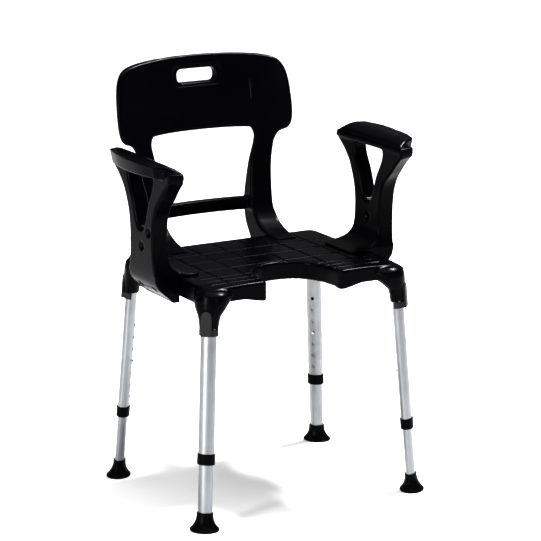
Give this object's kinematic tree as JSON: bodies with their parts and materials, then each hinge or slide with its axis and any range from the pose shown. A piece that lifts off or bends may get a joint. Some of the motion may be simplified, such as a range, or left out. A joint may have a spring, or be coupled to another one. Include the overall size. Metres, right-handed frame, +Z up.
{
  "type": "shower chair",
  "caption": "Shower chair with a U shaped hygiene recess in a tiled seat, a bent backrest with a grip slot, forked armrests and height adjustable legs.",
  "frame": {"origin": "centre of the whole chair's plan, on the floor under the feet", "axes": "+Z up, -Y the open front with the hygiene recess, +X the sitter's left hand side"},
  "size_m": [0.596, 0.513, 0.825],
  "materials": {
    "seat_plastic": "near black moulded polypropylene, satin",
    "black_plastic": "black moulded nylon",
    "grey_plastic": "mid grey moulded nylon, satin",
    "tube_aluminium": "satin anodised",
    "black_rubber": "moulded rubber",
    "steel": "stainless steel"
  },
  "bodies": {
    "frame": {"seat_shell": "seat_plastic", "backrest": "seat_plastic", "backrest_bolts": "steel", "armrest_right": "seat_plastic", "armrest_left": "seat_plastic", "armrest_screws_right": "steel", "armrest_screws_left": "steel", "outer_tube_front_left": "tube_aluminium", "end_collar_front_left": "black_plastic", "outer_tube_front_right": "tube_aluminium", "end_collar_front_right": "black_plastic", "outer_tube_rear_left": "tube_aluminium", "end_collar_rear_left": "black_plastic", "outer_tube_rear_right": "tube_aluminium", "end_collar_rear_right": "black_plastic"},
    "leg_front_left": {"inner_tube_front_left": "tube_aluminium", "tube_plug_front_left": "black_plastic", "button_spring_front_left": "steel", "foot_front_left": "black_rubber", "foot_washer_front_left": "steel"},
    "button_front_left": {"snap_button_front_left": "steel"},
    "clip_front_left": {"leg_clip_front_left": "grey_plastic"},
    "leg_front_right": {"inner_tube_front_right": "tube_aluminium", "tube_plug_front_right": "black_plastic", "button_spring_front_right": "steel", "foot_front_right": "black_rubber", "foot_washer_front_right": "steel"},
    "button_front_right": {"snap_button_front_right": "steel"},
    "clip_front_right": {"leg_clip_front_right": "grey_plastic"},
    "leg_rear_left": {"inner_tube_rear_left": "tube_aluminium", "tube_plug_rear_left": "black_plastic", "button_spring_rear_left": "steel", "foot_rear_left": "black_rubber", "foot_washer_rear_left": "steel"},
    "button_rear_left": {"snap_button_rear_left": "steel"},
    "clip_rear_left": {"leg_clip_rear_left": "grey_plastic"},
    "leg_rear_right": {"inner_tube_rear_right": "tube_aluminium", "tube_plug_rear_right": "black_plastic", "button_spring_rear_right": "steel", "foot_rear_right": "black_rubber", "foot_washer_rear_right": "steel"},
    "button_rear_right": {"snap_button_rear_right": "steel"},
    "clip_rear_right": {"leg_clip_rear_right": "grey_plastic"}
  },
  "joints": [
    {"name": "leg_extension_front_left", "type": "slide", "parent": "frame", "child": "leg_front_left", "axis": [-0.0628, -0.0588, -0.9963], "range_m": [-0.075, 0.075]},
    {"name": "button_press_front_left", "type": "slide", "parent": "leg_front_left", "child": "button_front_left", "axis": [-0.7273, -0.6809, 0.086], "range_m": [0, 0.0056], "stiffness_N_per_m": 600, "springref_m": -0.005, "deforming": ["button_spring_front_left"]},
    {"name": "clip_release_front_left", "type": "slide", "parent": "frame", "child": "clip_front_left", "axis": [-0.7273, -0.6809, 0.086], "range_m": [0, 0.01]},
    {"name": "leg_extension_front_right", "type": "slide", "parent": "frame", "child": "leg_front_right", "axis": [0.0628, -0.0588, -0.9963], "range_m": [-0.075, 0.075]},
    {"name": "button_press_front_right", "type": "slide", "parent": "leg_front_right", "child": "button_front_right", "axis": [0.7273, -0.6809, 0.086], "range_m": [0, 0.0056], "stiffness_N_per_m": 600, "springref_m": -0.005, "deforming": ["button_spring_front_right"]},
    {"name": "clip_release_front_right", "type": "slide", "parent": "frame", "child": "clip_front_right", "axis": [0.7273, -0.6809, 0.086], "range_m": [0, 0.01]},
    {"name": "leg_extension_rear_left", "type": "slide", "parent": "frame", "child": "leg_rear_left", "axis": [-0.0628, 0.0588, -0.9963], "range_m": [-0.075, 0.075]},
    {"name": "button_press_rear_left", "type": "slide", "parent": "leg_rear_left", "child": "button_rear_left", "axis": [-0.7273, 0.6809, 0.086], "range_m": [0, 0.0056], "stiffness_N_per_m": 600, "springref_m": -0.005, "deforming": ["button_spring_rear_left"]},
    {"name": "clip_release_rear_left", "type": "slide", "parent": "frame", "child": "clip_rear_left", "axis": [-0.7273, 0.6809, 0.086], "range_m": [0, 0.01]},
    {"name": "leg_extension_rear_right", "type": "slide", "parent": "frame", "child": "leg_rear_right", "axis": [0.0628, 0.0588, -0.9963], "range_m": [-0.075, 0.075]},
    {"name": "button_press_rear_right", "type": "slide", "parent": "leg_rear_right", "child": "button_rear_right", "axis": [0.7273, 0.6809, 0.086], "range_m": [0, 0.0056], "stiffness_N_per_m": 600, "springref_m": -0.005, "deforming": ["button_spring_rear_right"]},
    {"name": "clip_release_rear_right", "type": "slide", "parent": "frame", "child": "clip_rear_right", "axis": [0.7273, 0.6809, 0.086], "range_m": [0, 0.01]}
  ]
}
